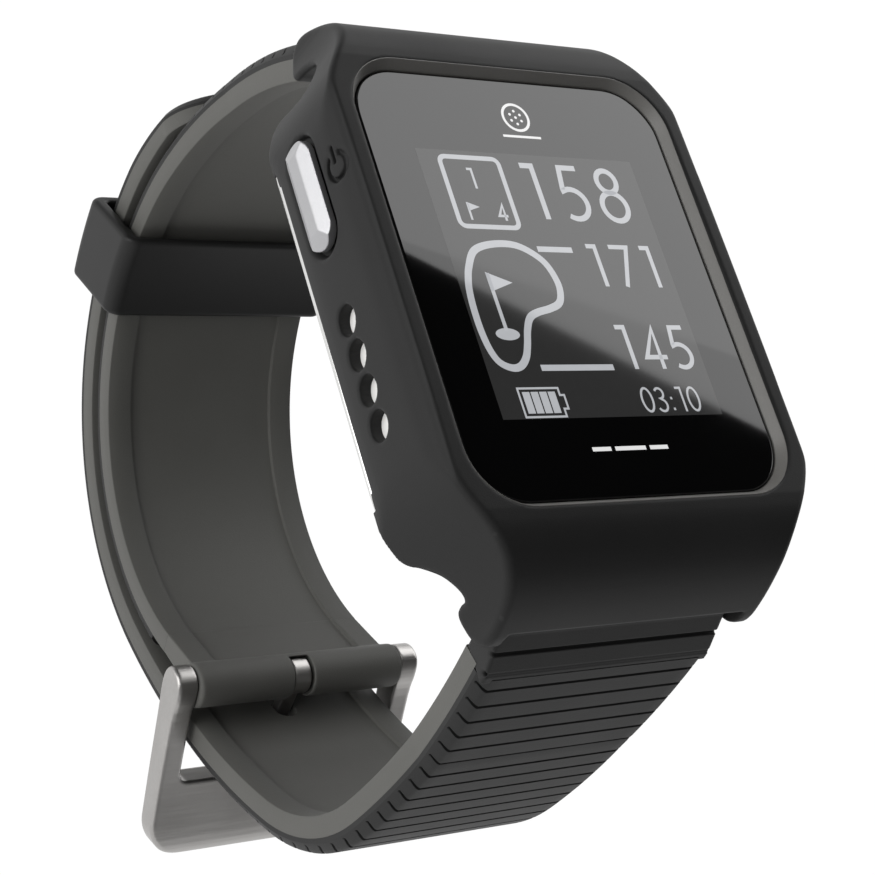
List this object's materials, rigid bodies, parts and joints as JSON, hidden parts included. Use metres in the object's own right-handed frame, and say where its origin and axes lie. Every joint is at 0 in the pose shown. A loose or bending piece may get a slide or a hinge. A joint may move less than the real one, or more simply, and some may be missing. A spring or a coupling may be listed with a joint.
{
  "type": "golf gps watch",
  "caption": "Rectangular wrist golf GPS watch with flush glass, side keys, charging pads and a closed ribbed rubber strap with keeper, pin buckle and spring bars.",
  "frame": {"origin": "centre of the flat outer face of the steel back cover, where the case rests on the wrist", "axes": "+Z the way the display faces, +Y up the dial towards 12 o'clock, +X across the wrist towards the 3 o'clock side"},
  "size_m": [0.037, 0.0714, 0.0688],
  "materials": {
    "housing_polymer": "fine bead-blasted texture",
    "cover_steel": "satin with polished rim",
    "seal_rubber": "matte",
    "screw_steel": "plain",
    "lens_glass": "polished, black underprint",
    "lcd_laminate": "semi-gloss",
    "guide_acrylic": "clear diffuser",
    "frame_plastic": "moulded",
    "flex_film": "polyimide film",
    "board_laminate": "solder mask",
    "can_steel": "tinned",
    "antenna_ceramic": "fired",
    "cell_foil": "pouch foil",
    "pad_foam": "closed-cell foam",
    "contact_gold": "plated",
    "switch_body": "moulded",
    "key_metal": "satin chrome",
    "clip_steel": "spring steel",
    "bar_steel": "turned",
    "strap_grey": "matte elastomer",
    "strap_black": "ribbed elastomer",
    "keeper_rubber": "smooth satin",
    "buckle_steel": "satin with polished bevels"
  },
  "bodies": {
    "case": {"upper_housing": "housing_polymer", "back_cover": "cover_steel", "housing_seal": "seal_rubber", "back_screws": "screw_steel", "display_lens": "lens_glass", "lens_seal": "seal_rubber", "lcd_panel": "lcd_laminate", "light_guide": "guide_acrylic", "mid_frame": "frame_plastic", "display_flex": "flex_film", "main_board": "board_laminate", "rf_shield": "can_steel", "gps_antenna": "antenna_ceramic", "battery": "cell_foil", "battery_pad": "pad_foam", "contact_block": "frame_plastic", "charging_contacts": "contact_gold", "button_seals": "seal_rubber", "tact_switches": "switch_body", "upper_bar_tube": "bar_steel", "upper_bar_spring": "clip_steel", "lower_bar_tube": "bar_steel", "lower_bar_spring": "clip_steel", "lower_strap_inner": "strap_grey", "lower_strap_outer": "strap_black"},
    "power_key": {"power_button": "key_metal", "power_clip": "clip_steel"},
    "up_key": {"up_button": "key_metal", "up_clip": "clip_steel"},
    "select_key": {"select_button": "key_metal", "select_clip": "clip_steel"},
    "down_key": {"down_button": "key_metal", "down_clip": "clip_steel"},
    "upper_tip_l": {"upper_bar_tip_left": "bar_steel"},
    "upper_tip_r": {"upper_bar_tip_right": "bar_steel"},
    "lower_tip_l": {"lower_bar_tip_left": "bar_steel"},
    "lower_tip_r": {"lower_bar_tip_right": "bar_steel"},
    "upper_strap": {"upper_strap_inner": "strap_grey", "upper_strap_outer": "strap_black"},
    "keeper": {"strap_keeper": "keeper_rubber"},
    "buckle": {"buckle_frame": "buckle_steel", "buckle_bar": "bar_steel"},
    "tongue": {"buckle_tongue": "buckle_steel"}
  },
  "joints": [
    {"name": "power_press", "type": "slide", "parent": "case", "child": "power_key", "axis": [1, 0, 0], "range_m": [0, 0.00042], "stiffness_N_per_m": 4000},
    {"name": "up_press", "type": "slide", "parent": "case", "child": "up_key", "axis": [-1, 0, 0], "range_m": [0, 0.00042], "stiffness_N_per_m": 4000},
    {"name": "select_press", "type": "slide", "parent": "case", "child": "select_key", "axis": [-1, 0, 0], "range_m": [0, 0.00042], "stiffness_N_per_m": 4000},
    {"name": "down_press", "type": "slide", "parent": "case", "child": "down_key", "axis": [-1, 0, 0], "range_m": [0, 0.00042], "stiffness_N_per_m": 4000},
    {"name": "upper_tip_left_in", "type": "slide", "parent": "case", "child": "upper_tip_l", "axis": [1, 0, 0], "range_m": [0, 0.001], "stiffness_N_per_m": 2000},
    {"name": "upper_tip_right_in", "type": "slide", "parent": "case", "child": "upper_tip_r", "axis": [-1, 0, 0], "range_m": [0, 0.001], "stiffness_N_per_m": 2000},
    {"name": "lower_tip_left_in", "type": "slide", "parent": "case", "child": "lower_tip_l", "axis": [1, 0, 0], "range_m": [0, 0.001], "stiffness_N_per_m": 2000},
    {"name": "lower_tip_right_in", "type": "slide", "parent": "case", "child": "lower_tip_r", "axis": [-1, 0, 0], "range_m": [0, 0.001], "stiffness_N_per_m": 2000},
    {"name": "upper_strap_swing", "type": "hinge", "parent": "case", "child": "upper_strap", "pos_m": [0, 0.0237, 0.004], "axis": [1, 0, 0], "range_deg": [-3, 3], "stiffness_Nm_per_rad": 0.6, "deforming": ["lower_strap_inner", "lower_strap_outer"]},
    {"name": "keeper_slide", "type": "hinge", "parent": "upper_strap", "child": "keeper", "pos_m": [0, 0.00304, -0.02404], "axis": [1, 0, 0], "range_deg": [-7, 7]},
    {"name": "buckle_turn", "type": "hinge", "parent": "upper_strap", "child": "buckle", "pos_m": [0, -0.0116, -0.044], "axis": [-1, 0, 0], "range_deg": [0, 20]},
    {"name": "tongue_lift", "type": "hinge", "parent": "upper_strap", "child": "tongue", "pos_m": [0, -0.0116, -0.044], "axis": [1, 0, 0], "range_deg": [0, 8]}
  ]
}
